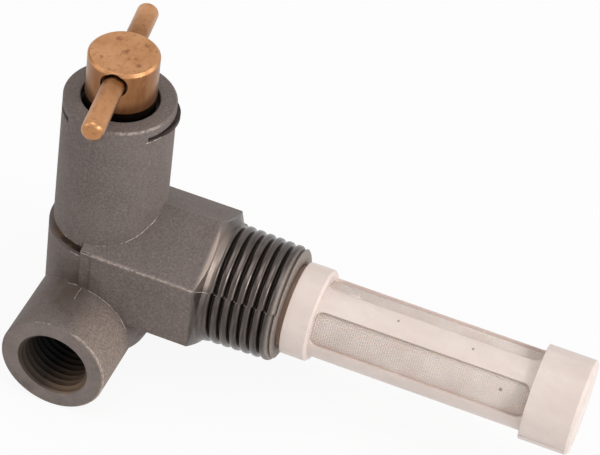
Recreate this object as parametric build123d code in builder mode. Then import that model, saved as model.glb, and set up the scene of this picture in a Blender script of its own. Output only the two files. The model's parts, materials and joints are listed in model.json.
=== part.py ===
from build123d import *
import math
import os

# Screw-down fuel tap. Millimetres.
# Origin: the gauge plane of the inlet's taper thread, on its axis.
# +X leaves the tap through the inlet, towards the strainer. +Z is up along the spindle.
# The outlet leaves along -Y, lower down.

# Inlet: 1/2 inch taper pipe thread, cast with blunt crests
gauge_dia = 20.955          # crest diameter at the gauge plane
inlet_pitch = 1.814
inlet_taper = 1 / 16        # on the diameter
gauge_to_end = 8.0          # gauge plane to the thread's end face
thread_length = 11.9
thread_depth = 0.95
crest_half_width = 0.2
shoulder_half_width = 0.55  # where each crest's blunted corner meets its flank
shoulder_drop = 0.28
root_half_width = 0.78
thread_end_round = 1.3
ridge_overrun = 0.75        # pitches that the ridge is swept past each end, then trimmed
ridge_sink = 0.15           # the ridge lies this deep in the core and in the neck
envelope_gap = 0.05         # the trimming envelope clears the crests by this

# Wrench hexagon round the inlet
spindle_to_gauge = 26.2     # spindle axis to the gauge plane
hex_across_flats = 22.6
hex_behind_spindle = 0.6
hex_past_spindle = 20.1     # to where its corners start to be turned off
hex_cone_length = 1.8       # the corners run down to the neck over this length
hex_cone_knee = 1.1         # the cone is steep as far as this
hex_knee_step = 0.35        # the knee stands this far over the neck
flat_step_past_spindle = 1.5    # a small step in the front flat, from the casting's mould
flat_step_depth = 0.25
inlet_neck_dia = 21.3       # round neck between the hexagon and the thread

# Barrel and lower body
rim_height = 33.0           # rim above the inlet's axis
barrel_rim_dia = 19.0
barrel_base_dia = 19.4
barrel_root = 1.0           # the barrel runs on this far into the lower body
rim_bevel = 0.3
ledge_height = 5.0          # top of the lower body
ledge_groove = 1.4          # height of the shadow groove over the ledge
groove_depth = 0.9
groove_turn = 15.0          # degrees, it is deepest this far from the front, on the inlet's side
lower_dia = 20.4
lower_forward = 0.5         # the lower body stands this far towards the outlet
heel_round = 5.0
heel_above_boss = 0.4       # the lower body's floor over the boss's lowest line

# Outlet: 1/4 inch parallel female thread, bored at its minor diameter
outlet_drop = 11.1          # outlet axis under the inlet's axis
boss_dia = 19.1
boss_reach = 21.7           # spindle axis to the boss's face
boss_edge_round = 0.35
outlet_minor_dia = 11.445
outlet_major_dia = 13.157
outlet_depth = 12.0
outlet_way_dia = 7.2
outlet_way_margin = 1.5     # it is drilled this far past the seat's hole

# Bores along the spindle
seal_bore_dia = 13.2
seal_bore_margin = 1.0      # it runs on this far under the shut spindle's land
screw_bore_dia = 11.2       # the female thread's plain stand-in, and the chamber
seat_height = -5.0
seat_hole_dia = 6.0
seat_lip = 0.5
seat_lip_width = 1.0
rim_chamfer = 0.15

# Inlet bores
inlet_way_dia = 9.2
socket_dia = 14.6
socket_depth = 9.0

# Spindle
running_gap = 0.05          # radial
shut_to_open_turns = 2.5
screw_pitch = 1.5
head_dia = 12.0
head_rise = 9.2             # head's top above the rim, shut
head_chamfer = 0.45
neck_dia = 9.2
land_length = 7.0
screw_length = 11.3
stem_dia = 8.0
end_gap = 0.3               # clip to each shoulder at the ends of the travel

# Retaining clip and its slots
clip_below_rim = 2.2
clip_thickness = 0.8
clip_half_width = 6.5
clip_proud = 0.75           # its round end stands this far out of the barrel
clip_tip_inset = 0.3        # its open end stays this far inside the barrel
clip_gap = 0.1              # radial, clear of the spindle's neck
slot_gap = 0.1              # clear of the clip on each side
slot_turn = 7.0             # degrees, the slots lie this far off the inlet's line

# Spindle's O-ring
ring_section = 1.6
ring_sides = 12             # its round section is drawn with flats, because it is out of sight
ring_groove_width = 2.4
ring_gap = 0.03

# Jumper and its washer
washer_thickness = 1.6
washer_dia = 9.2
jumper_disc_thickness = 1.2
jumper_disc_dia = 9.6
jumper_stem_dia = 3.0
jumper_stem_length = 5.5
jumper_gap = 0.05
washer_stud_dia = 2.4
washer_stud_short = 0.4     # the stud ends this far above the washer's face

# Tommy bar
bar_dia = 3.75
bar_below_head_top = 2.5
bar_front = 18.3            # spindle axis to its front end
bar_back = 15.3
bar_turn = 7.5              # degrees from the outlet's line
bar_end_round = 0.55
bar_fit = 0.02
bar_hole_mouth_dia = 4.5
bar_hole_mouth_depth = 0.9

# Strainer
collar_gap = 1.2            # thread's end face to the collar
collar_dia = 16.4
collar_length = 4.7
collar_chamfer = 0.4
spigot_fit = 0.02
frame_bore_dia = 11.2
rib_outer_dia = 14.2
rib_inner_dia = 12.4
window_length = 38.3
window_width = 6.3
window_corner_round = 1.5
rib_turn = 20.4             # degrees, the first rib stands this far forward of the top
cap_dia = 16.8
cap_length = 8.7
cap_wall = 1.7
cap_chamfer = 0.5
gauze_thickness = 0.25
gauze_fit = 0.02
gauze_lap = 0.6             # into the collar and the cap

# Places worked out from the sizes
spindle_x = -spindle_to_gauge
hex_start = spindle_x - hex_behind_spindle
hex_end = spindle_x + hex_past_spindle
neck_start = hex_end + hex_cone_length
thread_end = gauge_to_end
thread_start = thread_end - thread_length
outlet_z = -outlet_drop
floor_z = outlet_z - boss_dia / 2 + heel_above_boss
lift = shut_to_open_turns * screw_pitch
clip_z = rim_height - clip_below_rim
clip_top = clip_z + clip_thickness / 2
clip_base = clip_z - clip_thickness / 2
neck_top = clip_top + end_gap
neck_base = clip_base - lift - end_gap
land_base = neck_base - land_length
seal_bore_base = land_base - seal_bore_margin
screw_base = land_base - screw_length
head_top = rim_height + head_rise
bar_z = head_top - bar_below_head_top
washer_top = seat_height + washer_thickness
jumper_top = washer_top + jumper_disc_thickness
chamber_floor = seat_height - seat_lip
ring_z = land_base + land_length / 2
seal_bore_r = seal_bore_dia / 2
land_r = seal_bore_r - running_gap
screw_r = screw_bore_dia / 2 - running_gap
ring_groove_r = seal_bore_r - ring_section - 2 * ring_gap
collar_start = thread_end + collar_gap
collar_end = collar_start + collar_length
cap_start = collar_end + window_length
cap_end = cap_start + cap_length
spigot_start = thread_end - socket_depth

# A round is drawn as two bevels that meet at the middle of its arc, this share of its radius
# in from the corner
arc_corner = 1 - math.sqrt(0.5)

spindle_axis = Axis((spindle_x, 0, 0), (0, 0, 1))
outlet_axis = Axis((spindle_x, 0, outlet_z), (0, -1, 0))
side_plane = Plane(origin=(spindle_x, 0, 0), x_dir=(1, 0, 0), z_dir=(0, -1, 0))
outlet_plane = Plane(origin=(spindle_x, 0, outlet_z), x_dir=(0, -1, 0), z_dir=(1, 0, 0))


def across(z, forward=0.0):
    """The level plane at height z, centred on the spindle's axis."""
    return Plane(origin=(spindle_x, -forward, z), x_dir=(1, 0, 0), z_dir=(0, 0, 1))


def along_inlet(x):
    """The plane across the inlet's axis at x, with its local x along +Y."""
    return Plane(origin=(x, 0, 0), x_dir=(0, 1, 0), z_dir=(1, 0, 0))


def along_outlet(reach):
    """The plane across the outlet's axis, reach away from the spindle's axis."""
    return Plane(origin=(spindle_x, -reach, outlet_z), x_dir=(1, 0, 0), z_dir=(0, -1, 0))


def crest_radius(x):
    """The taper thread's crest radius at x."""
    return (gauge_dia - x * inlet_taper) / 2


# Inlet thread: one blunt ridge swept along a tapered right-hand helix
ridge_start = thread_start - inlet_pitch * ridge_overrun
ridge_run = thread_length + inlet_pitch * ridge_overrun * 2
ridge_foot = thread_depth + ridge_sink
flank_slope = (root_half_width - shoulder_half_width) / (thread_depth - shoulder_drop)
foot_half_width = root_half_width + flank_slope * ridge_sink

with BuildPart() as inlet_ridge:
    with BuildLine() as ridge_path:
        Helix(
            pitch=inlet_pitch,
            height=ridge_run,
            radius=crest_radius(ridge_start),
            center=(ridge_start, 0, 0),
            direction=(1, 0, 0),
            cone_angle=-math.degrees(math.atan(inlet_taper / 2)),
        )
    first = ridge_path.edges()[0] @ 0
    outward = Vector(0, first.Y, first.Z).normalized()
    ridge_plane = Plane(origin=first, x_dir=(1, 0, 0), z_dir=Vector(1, 0, 0).cross(outward))
    with BuildSketch(ridge_plane):
        with BuildLine():
            Polyline(
                (-crest_half_width, 0),
                (-shoulder_half_width, -shoulder_drop),
                (-foot_half_width, -ridge_foot),
                (foot_half_width, -ridge_foot),
                (shoulder_half_width, -shoulder_drop),
                (crest_half_width, 0),
                close=True,
            )
        make_face()
    sweep(path=ridge_path.wires()[0], is_frenet=True)

    # the envelope trims the ridge at both ends of the thread
    start_r = crest_radius(thread_start) + envelope_gap
    end_r = crest_radius(thread_end) + envelope_gap
    corner = thread_end_round * arc_corner
    with BuildSketch(Plane.XY):
        with BuildLine():
            Polyline(
                (thread_end, socket_dia / 2),
                (thread_start - ridge_sink, socket_dia / 2),
                (thread_start - ridge_sink, start_r),
                (thread_end - thread_end_round, end_r),
                (thread_end - corner, end_r - corner),
                (thread_end, end_r - thread_end_round),
                close=True,
            )
        make_face()
    revolve(axis=Axis.X, mode=Mode.INTERSECT)


# Body casting: barrel, lower body, hexagon, neck, threaded inlet and outlet boss in one
with BuildPart() as tap_body:
    barrel_foot = ledge_height - barrel_root
    with BuildSketch(side_plane):
        with BuildLine():
            Polyline(
                (0, barrel_foot),
                (barrel_base_dia / 2, barrel_foot),
                (barrel_rim_dia / 2, rim_height),
                (0, rim_height),
                close=True,
            )
        make_face()
    revolve(axis=spindle_axis)
    chamfer(tap_body.edges().group_by(Axis.Z)[-1], rim_bevel)

    # the shadow groove over the ledge, a crescent that is deepest in front
    with BuildSketch(across(ledge_height)):
        Circle(barrel_base_dia)
        with Locations(Rotation(0, 0, groove_turn)):
            with Locations((0, groove_depth)):
                Circle(barrel_base_dia / 2, mode=Mode.SUBTRACT)
    extrude(amount=ledge_groove, mode=Mode.SUBTRACT)

    # lower body, with a rounded heel under it
    lower_r = lower_dia / 2
    corner = heel_round * arc_corner
    with BuildSketch(Plane(origin=(spindle_x, -lower_forward, 0), x_dir=(1, 0, 0), z_dir=(0, -1, 0))):
        with BuildLine():
            Polyline(
                (0, ledge_height),
                (lower_r, ledge_height),
                (lower_r, floor_z + heel_round),
                (lower_r - corner, floor_z + corner),
                (lower_r - heel_round, floor_z),
                (0, floor_z),
                close=True,
            )
        make_face()
    revolve(axis=Axis((spindle_x, -lower_forward, 0), (0, 0, 1)))

    # wrench hexagon with one corner up
    hex_flat = hex_across_flats / 2
    with BuildSketch(along_inlet(hex_start)):
        RegularPolygon(radius=hex_flat, side_count=6, major_radius=False, rotation=90)
    extrude(amount=neck_start - hex_start)

    # its corners are turned down to the neck at the inlet's end
    inlet_neck_r = inlet_neck_dia / 2
    corner_r = hex_flat / math.cos(math.radians(30))
    with BuildSketch(Plane.XY):
        with BuildLine():
            Polyline(
                (hex_end, corner_r),
                (hex_end + hex_cone_knee, inlet_neck_r + hex_knee_step),
                (neck_start, inlet_neck_r),
                (neck_start, corner_r),
                close=True,
            )
        make_face()
    revolve(axis=Axis.X, mode=Mode.SUBTRACT)

    # the mould's step in the front flat
    with BuildSketch(across(-corner_r)):
        with Locations((flat_step_past_spindle, flat_step_depth - hex_flat)):
            Rectangle(lower_dia, hex_flat, align=(Align.MAX, Align.MAX))
    extrude(amount=2 * corner_r, mode=Mode.SUBTRACT)

    # neck and the thread's core
    with BuildSketch(along_inlet(neck_start)):
        Circle(inlet_neck_r)
    extrude(amount=thread_start - neck_start)
    with BuildSketch(Plane.XY):
        with BuildLine():
            Polyline(
                (thread_start, 0),
                (thread_start, crest_radius(thread_start) - thread_depth),
                (thread_end, crest_radius(thread_end) - thread_depth),
                (thread_end, 0),
                close=True,
            )
        make_face()
    revolve(axis=Axis.X)

    # outlet boss, its edge rounded
    boss_r = boss_dia / 2
    corner = boss_edge_round * arc_corner
    with BuildSketch(outlet_plane):
        with BuildLine():
            Polyline(
                (boss_reach, 0),
                (0, 0),
                (0, boss_r),
                (boss_reach - boss_edge_round, boss_r),
                (boss_reach - corner, boss_r - corner),
                (boss_reach, boss_r - boss_edge_round),
                close=True,
            )
        make_face()
    revolve(axis=outlet_axis)

    add(inlet_ridge.part)

    # bores down the barrel: seal bore, screw bore with the chamber, and the seat's hole
    with BuildSketch(side_plane):
        with BuildLine():
            Polyline(
                (0, rim_height),
                (seal_bore_r + rim_chamfer, rim_height),
                (seal_bore_r, rim_height - rim_chamfer),
                (seal_bore_r, seal_bore_base),
                (screw_bore_dia / 2, seal_bore_base),
                (screw_bore_dia / 2, chamber_floor),
                (seat_hole_dia / 2 + seat_lip_width, chamber_floor),
                (seat_hole_dia / 2 + seat_lip_width, seat_height),
                (seat_hole_dia / 2, seat_height),
                (seat_hole_dia / 2, outlet_z),
                (0, outlet_z),
                close=True,
            )
        make_face()
    revolve(axis=spindle_axis, mode=Mode.SUBTRACT)

    # inlet way and the strainer's socket
    with BuildSketch(along_inlet(spindle_x)):
        Circle(inlet_way_dia / 2)
    extrude(amount=thread_end - spindle_x, mode=Mode.SUBTRACT)
    with BuildSketch(along_inlet(thread_end)):
        Circle(socket_dia / 2)
    extrude(amount=-socket_depth, mode=Mode.SUBTRACT)

    # outlet bore with its chamfered mouth, and the way to the seat's hole
    way_past_axis = seat_hole_dia / 2 + outlet_way_margin
    with BuildSketch(along_outlet(-way_past_axis)):
        Circle(outlet_way_dia / 2)
    extrude(amount=boss_reach + way_past_axis, mode=Mode.SUBTRACT)
    with BuildSketch(along_outlet(boss_reach - outlet_depth)):
        Circle(outlet_minor_dia / 2)
    extrude(amount=outlet_depth, mode=Mode.SUBTRACT)
    mouth = (outlet_major_dia - outlet_minor_dia) / 2
    with BuildSketch(along_outlet(boss_reach)):
        Circle(outlet_major_dia / 2)
    extrude(amount=-mouth, taper=45, mode=Mode.SUBTRACT)

    # one slot for the clip, right through both walls of the barrel
    with BuildSketch(across(clip_base - slot_gap)):
        with Locations(Rotation(0, 0, slot_turn)):
            Rectangle(2 * barrel_base_dia, 2 * (clip_half_width + slot_gap))
    extrude(amount=clip_thickness + 2 * slot_gap, mode=Mode.SUBTRACT)

tap_body.part.label = "tap_body"


# Spindle, shut: head, clip neck, sealing land, screw and stem, turned in one
with BuildPart() as spindle:
    head_r = head_dia / 2
    neck_r = neck_dia / 2
    groove_low = ring_z - ring_groove_width / 2
    groove_high = ring_z + ring_groove_width / 2
    with BuildSketch(side_plane):
        with BuildLine():
            Polyline(
                (0, jumper_top),
                (stem_dia / 2, jumper_top),
                (stem_dia / 2, screw_base),
                (screw_r, screw_base),
                (screw_r, land_base),
                (land_r, land_base),
                (land_r, groove_low),
                (ring_groove_r, groove_low),
                (ring_groove_r, groove_high),
                (land_r, groove_high),
                (land_r, neck_base),
                (neck_r, neck_base),
                (neck_r, neck_top),
                (head_r, neck_top),
                (head_r, head_top - head_chamfer),
                (head_r - head_chamfer, head_top),
                (0, head_top),
                close=True,
            )
        make_face()
    revolve(axis=spindle_axis)

    # socket for the jumper's stem
    with BuildSketch(across(jumper_top)):
        Circle(jumper_stem_dia / 2 + jumper_gap)
    extrude(amount=jumper_stem_length + jumper_gap, mode=Mode.SUBTRACT)

    # cross hole for the tommy bar, opened out at both mouths
    bar_way = (math.sin(math.radians(bar_turn)), -math.cos(math.radians(bar_turn)), 0)
    bar_plane = Plane(origin=(spindle_x, 0, bar_z), x_dir=(0, 0, 1), z_dir=bar_way)
    with BuildSketch(bar_plane):
        Circle(bar_dia / 2 + bar_fit)
    extrude(amount=head_r, both=True, mode=Mode.SUBTRACT)
    for side in (1, -1):
        with BuildSketch(bar_plane.offset(side * (head_r - bar_hole_mouth_depth))):
            Circle(bar_hole_mouth_dia / 2)
        extrude(amount=side * 2 * bar_hole_mouth_depth, mode=Mode.SUBTRACT)

spindle.part.label = "spindle"


# Tommy bar through the spindle's head
with BuildPart() as tommy_bar:
    bar_r = bar_dia / 2
    corner = bar_end_round * arc_corner
    with BuildSketch(Plane(origin=bar_plane.origin, x_dir=bar_way, z_dir=bar_plane.y_dir)):
        with BuildLine():
            Polyline(
                (-bar_back, 0),
                (-bar_back, bar_r - bar_end_round),
                (corner - bar_back, bar_r - corner),
                (bar_end_round - bar_back, bar_r),
                (bar_front - bar_end_round, bar_r),
                (bar_front - corner, bar_r - corner),
                (bar_front, bar_r - bar_end_round),
                (bar_front, 0),
                close=True,
            )
        make_face()
    revolve(axis=Axis(bar_plane.origin, bar_way))

tommy_bar.part.label = "tommy_bar"


# Retaining clip: a flat horseshoe round the spindle's neck
clip_reach = barrel_rim_dia / 2 + clip_proud
clip_tips = barrel_rim_dia / 2 - clip_tip_inset
clip_throat_r = neck_dia / 2 + clip_gap

with BuildPart() as retaining_clip:
    with BuildSketch(across(clip_base)):
        with Locations(Rotation(0, 0, slot_turn)):
            Circle(clip_tips)
            Rectangle(2 * clip_reach, 2 * clip_half_width, mode=Mode.INTERSECT)
            with Locations((clip_reach - clip_half_width, 0)):
                Circle(clip_half_width)
            with Locations(((clip_reach - clip_half_width) / 2, 0)):
                Rectangle(clip_reach - clip_half_width, 2 * clip_half_width)
            Circle(clip_throat_r, mode=Mode.SUBTRACT)
            with Locations((-clip_tips / 2, 0)):
                Rectangle(clip_tips, 2 * clip_throat_r, mode=Mode.SUBTRACT)
    extrude(amount=clip_thickness)

retaining_clip.part.label = "retaining_clip"


# O-ring in the land's groove
with BuildPart() as spindle_o_ring:
    ring_r = seal_bore_r - ring_gap - ring_section / 2
    with BuildSketch(side_plane):
        with Locations((ring_r, ring_z)):
            RegularPolygon(radius=ring_section / 2, side_count=ring_sides)
    revolve(axis=spindle_axis)

spindle_o_ring.part.label = "spindle_o_ring"


# Jumper: a disc that stays still on the seat while the spindle turns above it
with BuildPart() as jumper:
    with BuildSketch(side_plane):
        with BuildLine():
            Polyline(
                (0, seat_height + washer_stud_short),
                (washer_stud_dia / 2, seat_height + washer_stud_short),
                (washer_stud_dia / 2, washer_top),
                (jumper_disc_dia / 2, washer_top),
                (jumper_disc_dia / 2, jumper_top),
                (jumper_stem_dia / 2, jumper_top),
                (jumper_stem_dia / 2, jumper_top + jumper_stem_length),
                (0, jumper_top + jumper_stem_length),
                close=True,
            )
        make_face()
    revolve(axis=spindle_axis)

jumper.part.label = "jumper"


# Washer under the jumper
with BuildPart() as jumper_washer:
    with BuildSketch(across(seat_height)):
        Circle(washer_dia / 2)
        Circle(washer_stud_dia / 2 + jumper_gap, mode=Mode.SUBTRACT)
    extrude(amount=washer_thickness)

jumper_washer.part.label = "jumper_washer"


# Strainer frame: spigot, collar, four ribs and closed cap, moulded in one
with BuildPart() as strainer_frame:
    spigot_r = socket_dia / 2 - spigot_fit
    with BuildSketch(Plane.XY):
        with BuildLine():
            Polyline(
                (spigot_start, frame_bore_dia / 2),
                (spigot_start, spigot_r),
                (collar_start, spigot_r),
                (collar_start, collar_dia / 2),
                (collar_end - collar_chamfer, collar_dia / 2),
                (collar_end, collar_dia / 2 - collar_chamfer),
                (collar_end, rib_outer_dia / 2),
                (cap_start, rib_outer_dia / 2),
                (cap_start, cap_dia / 2),
                (cap_end - cap_chamfer, cap_dia / 2),
                (cap_end, cap_dia / 2 - cap_chamfer),
                (cap_end, 0),
                (cap_end - cap_wall, 0),
                (cap_end - cap_wall, frame_bore_dia / 2),
                (cap_start + gauze_lap + gauze_fit, frame_bore_dia / 2),
                (cap_start + gauze_lap + gauze_fit, rib_inner_dia / 2),
                (collar_end - gauze_lap - gauze_fit, rib_inner_dia / 2),
                (collar_end - gauze_lap - gauze_fit, frame_bore_dia / 2),
                close=True,
            )
        make_face()
    revolve(axis=Axis.X)

    # four windows with rounded corners leave four ribs
    window_middle = (collar_end + window_length / 2, 0, 0)
    for quarter in (0, 90):
        window_turn = math.radians(rib_turn + 45 + quarter)
        window_way = (0, math.cos(window_turn), math.sin(window_turn))
        with BuildSketch(Plane(origin=window_middle, x_dir=(1, 0, 0), z_dir=window_way)):
            RectangleRounded(window_length, window_width, window_corner_round)
        extrude(amount=collar_dia, both=True, mode=Mode.SUBTRACT)

strainer_frame.part.label = "strainer_frame"


# Gauze sleeve inside the ribs
with BuildPart() as strainer_gauze:
    gauze_r = rib_inner_dia / 2 - gauze_fit
    with BuildSketch(along_inlet(collar_end - gauze_lap)):
        Circle(gauze_r)
        Circle(gauze_r - gauze_thickness, mode=Mode.SUBTRACT)
    extrude(amount=window_length + 2 * gauze_lap)

strainer_gauze.part.label = "strainer_gauze"


os.makedirs("parts", exist_ok=True)
for piece in (
    tap_body,
    spindle,
    tommy_bar,
    retaining_clip,
    spindle_o_ring,
    jumper,
    jumper_washer,
    strainer_frame,
    strainer_gauze,
):
    export_step(piece.part, f"parts/{piece.part.label}.step")
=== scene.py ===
import json
import math
import random

import bmesh
import bpy
from mathutils import Matrix, Vector

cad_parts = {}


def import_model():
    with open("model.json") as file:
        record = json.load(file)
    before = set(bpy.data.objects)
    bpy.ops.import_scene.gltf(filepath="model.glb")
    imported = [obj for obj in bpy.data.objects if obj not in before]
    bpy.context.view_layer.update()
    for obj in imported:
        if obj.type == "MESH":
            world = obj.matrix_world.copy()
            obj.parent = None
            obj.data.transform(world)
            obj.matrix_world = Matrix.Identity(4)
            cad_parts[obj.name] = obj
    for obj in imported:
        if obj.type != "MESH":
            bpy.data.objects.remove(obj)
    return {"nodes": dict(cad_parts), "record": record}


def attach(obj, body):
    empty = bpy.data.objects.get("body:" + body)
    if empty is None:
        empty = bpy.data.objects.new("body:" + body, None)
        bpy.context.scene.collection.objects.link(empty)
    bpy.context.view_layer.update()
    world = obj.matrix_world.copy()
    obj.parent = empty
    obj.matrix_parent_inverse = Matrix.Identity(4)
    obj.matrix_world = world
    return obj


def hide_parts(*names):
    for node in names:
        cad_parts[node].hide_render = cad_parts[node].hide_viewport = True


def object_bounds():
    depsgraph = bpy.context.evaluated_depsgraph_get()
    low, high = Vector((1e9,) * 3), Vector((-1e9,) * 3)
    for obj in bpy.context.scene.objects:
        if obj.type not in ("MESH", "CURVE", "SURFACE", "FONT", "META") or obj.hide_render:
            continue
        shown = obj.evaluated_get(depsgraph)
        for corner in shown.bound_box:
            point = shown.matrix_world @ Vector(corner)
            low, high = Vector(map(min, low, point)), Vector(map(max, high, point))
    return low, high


# The tap's looks. Metres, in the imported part's frame: the inlet leaves along +X, the outlet along -Y,
# and the spindle stands along +Z. Sizes are written in millimetres, times MM.

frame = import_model()
nodes = frame["nodes"]
cad_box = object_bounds()

MM = 0.001
dice = random.Random(11)
mounts = {m["name"]: m for m in frame["record"]["mounts"]}
outlet_mount = mounts["outlet_port"]
spindle_x = outlet_mount["pos_m"][0]
outlet_z = outlet_mount["pos_m"][2]

# Inlet thread, neck and strainer socket
gauge_r = mounts["inlet_thread"]["dims"]["r_mm"] * MM
inlet_pitch = 1.814 * MM
inlet_taper = 1 / 32            # on the radius
thread_end = 8.25 * MM
thread_start = 8.0 * MM - mounts["inlet_thread"]["dims"]["length_mm"] * MM
thread_depth = 0.95 * MM
ridge_half_width = 0.88 * MM
end_round = 1.2 * MM
neck_r = 10.65 * MM
neck_cut = -4.25 * MM           # the threaded end is made anew from here on
socket_r = 7.3 * MM
socket_floor = -1.0 * MM
inlet_way_r = 4.6 * MM
mould_jog = 0.28 * MM           # the mould's halves are this much out of line along the inlet
parting_turn = math.radians(150)    # the parting line, round the inlet from +Y towards +Z

# Outlet thread
outlet_minor_r = outlet_mount["dims"]["r_mm"] * MM
outlet_depth_of_cut = 0.856 * MM
outlet_pitch = 1.337 * MM
outlet_face = -21.7 * MM
outlet_thread_length = 10.4 * MM
outlet_thread_phase = 0.67      # of a turn
outlet_mouth_r = 6.62 * MM
outlet_way_back = 4.6 * MM

# Casting
hex_corner_r = 13.05 * MM
hex_corner_y = hex_corner_r * math.cos(parting_turn)    # the front upper corner
hex_corner_z = hex_corner_r * math.sin(parting_turn)
hex_start = -26.8 * MM
hex_end = -6.1 * MM
ledge_r = 10.2 * MM
ledge_forward = 0.5 * MM
ledge_z = 5.0 * MM
groove_z = 6.4 * MM
barrel_r = 9.65 * MM
rim_r = 9.4 * MM
rim_z = 32.85 * MM
boss_r = 9.55 * MM
flat_y = -11.3 * MM
burr_r = 9.53 * MM              # a burr along the clip's slot
burr_z = 30.28 * MM

# Spindle's head and tommy bar
head_r = 6.0 * MM
head_top = 42.2 * MM
cross_hole_edge = 2.3 * MM      # the painted shade round the bar ends here
bar_r = 1.875 * MM
bar_front = 18.3 * MM
bar_back = 15.3 * MM
bar_z = 39.7 * MM
bar_turn = math.radians(7.5)
bar_end_round = 0.85 * MM
shade_top = 34.2 * MM          # the spindle is painted black below this, as shade
head_pits = (                   # millimetres right and back of the spindle's axis, and reach
    (-2.2, 3.0, 0.8),
    (0.05, 0.15, 0.8),
    (0.3, 0.7, 0.5),
    (3.5, -1.95, 0.75),
    (2.6, 3.4, 0.6),
    (-2.9, -2.7, 0.45),
    (2.3, -0.65, 0.5),
)

# Strainer
rib_outer_r = 7.1 * MM
collar_start = 9.2 * MM
window_start = 13.9 * MM
window_end = 52.2 * MM
cap_r = 8.4 * MM
cap_end = 60.9 * MM
gauze_r = 6.36 * MM
gauze_lap = 0.6 * MM
gauze_pitch = 0.4 * MM
gauze_wire = 0.09 * MM


# Node helpers


def new_material(name):
    """An empty node material and its shader, wired to the output."""
    material = bpy.data.materials.new(name)
    material.use_nodes = True
    tree = material.node_tree
    tree.nodes.clear()
    output = tree.nodes.new("ShaderNodeOutputMaterial")
    shader = tree.nodes.new("ShaderNodeBsdfPrincipled")
    tree.links.new(shader.outputs["BSDF"], output.inputs["Surface"])
    return material, tree, shader


def object_coordinates(tree):
    return tree.nodes.new("ShaderNodeTexCoord").outputs["Object"]


def split_axes(tree, vector):
    """The X, Y and Z of a vector, as sockets."""
    node = tree.nodes.new("ShaderNodeSeparateXYZ")
    tree.links.new(vector, node.inputs["Vector"])
    return node.outputs["X"], node.outputs["Y"], node.outputs["Z"]


def noise(tree, vector, scale, detail=3.0, roughness=0.55, distortion=0.0):
    """A noise texture's value, at a scale in cycles per metre."""
    node = tree.nodes.new("ShaderNodeTexNoise")
    node.inputs["Scale"].default_value = scale
    node.inputs["Detail"].default_value = detail
    node.inputs["Roughness"].default_value = roughness
    node.inputs["Distortion"].default_value = distortion
    tree.links.new(vector, node.inputs["Vector"])
    return node.outputs["Fac"]


def stretched(tree, vector, scale):
    """The coordinates with each axis scaled by its own factor."""
    node = tree.nodes.new("ShaderNodeMapping")
    node.inputs["Scale"].default_value = scale
    tree.links.new(vector, node.inputs["Vector"])
    return node.outputs["Vector"]


def ramp(tree, value, low, high, low_colour, high_colour):
    """A colour that goes from low_colour to high_colour as value goes from low to high."""
    node = tree.nodes.new("ShaderNodeValToRGB")
    first, last = node.color_ramp.elements
    first.position, last.position = low, high
    first.color, last.color = low_colour, high_colour
    tree.links.new(value, node.inputs["Fac"])
    return node.outputs["Color"]


def between(tree, value, low, high, out_low=0.0, out_high=1.0):
    """value mapped from low..high to out_low..out_high, clamped."""
    node = tree.nodes.new("ShaderNodeMapRange")
    node.inputs["From Min"].default_value = low
    node.inputs["From Max"].default_value = high
    node.inputs["To Min"].default_value = out_low
    node.inputs["To Max"].default_value = out_high
    tree.links.new(value, node.inputs["Value"])
    return node.outputs["Result"]


def math_node(tree, operation, first, second=None):
    node = tree.nodes.new("ShaderNodeMath")
    node.operation = operation
    for socket, value in zip(node.inputs, (first, second)):
        if value is None:
            continue
        if isinstance(value, (int, float)):
            socket.default_value = value
        else:
            tree.links.new(value, socket)
    return node.outputs["Value"]


def product(tree, first, *others):
    """first times each of the others."""
    for other in others:
        first = math_node(tree, "MULTIPLY", first, other)
    return first


def mix(tree, factor, first, second):
    """Colour first towards colour second by factor."""
    node = tree.nodes.new("ShaderNodeMix")
    node.data_type = "RGBA"
    sockets = {s.identifier: s for s in node.inputs}
    for key, value in (("Factor_Float", factor), ("A_Color", first), ("B_Color", second)):
        if isinstance(value, (int, float, tuple)):
            sockets[key].default_value = value
        else:
            tree.links.new(value, sockets[key])
    return next(s for s in node.outputs if s.identifier == "Result_Color")


def bump(tree, height, strength, distance, normal=None):
    node = tree.nodes.new("ShaderNodeBump")
    node.inputs["Strength"].default_value = strength
    node.inputs["Distance"].default_value = distance
    tree.links.new(height, node.inputs["Height"])
    if normal is not None:
        tree.links.new(normal, node.inputs["Normal"])
    return node.outputs["Normal"]


def soft_edges(tree, radius):
    """A normal that rounds sharp edges by radius."""
    node = tree.nodes.new("ShaderNodeBevel")
    node.samples = 8
    node.inputs["Radius"].default_value = radius
    return node.outputs["Normal"]


def distance_from(tree, first, first_at, second, second_at):
    """How far a point lies from an axis that passes through first_at, second_at."""
    along = math_node(tree, "SUBTRACT", first, first_at)
    across = math_node(tree, "SUBTRACT", second, second_at)
    squares = math_node(tree, "ADD", product(tree, along, along), product(tree, across, across))
    return math_node(tree, "SQRT", squares)


def near_spot(tree, vector, place, radius):
    """One inside a ball of radius round place, fading to nothing at its edge."""
    node = tree.nodes.new("ShaderNodeVectorMath")
    node.operation = "DISTANCE"
    tree.links.new(vector, node.inputs[0])
    node.inputs[1].default_value = place
    return between(tree, node.outputs["Value"], radius * 0.4, radius, 1, 0)


def seen_directly(tree):
    """One where the camera sees a place: straight, in a gloss or through something clear."""
    rays = tree.nodes.new("ShaderNodeLightPath")
    seen = math_node(tree, "MAXIMUM", rays.outputs["Is Camera Ray"], rays.outputs["Is Glossy Ray"])
    return math_node(tree, "MAXIMUM", seen, rays.outputs["Is Transmission Ray"])


def srgb(red, green, blue):
    """A colour written as 0..255 display values, as the shader's linear values."""
    values = []
    for channel in (red, green, blue):
        share = channel / 255
        values.append(share / 12.92 if share <= 0.04045 else ((share + 0.055) / 1.055) ** 2.4)
    return (*values, 1.0)


# Materials


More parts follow.
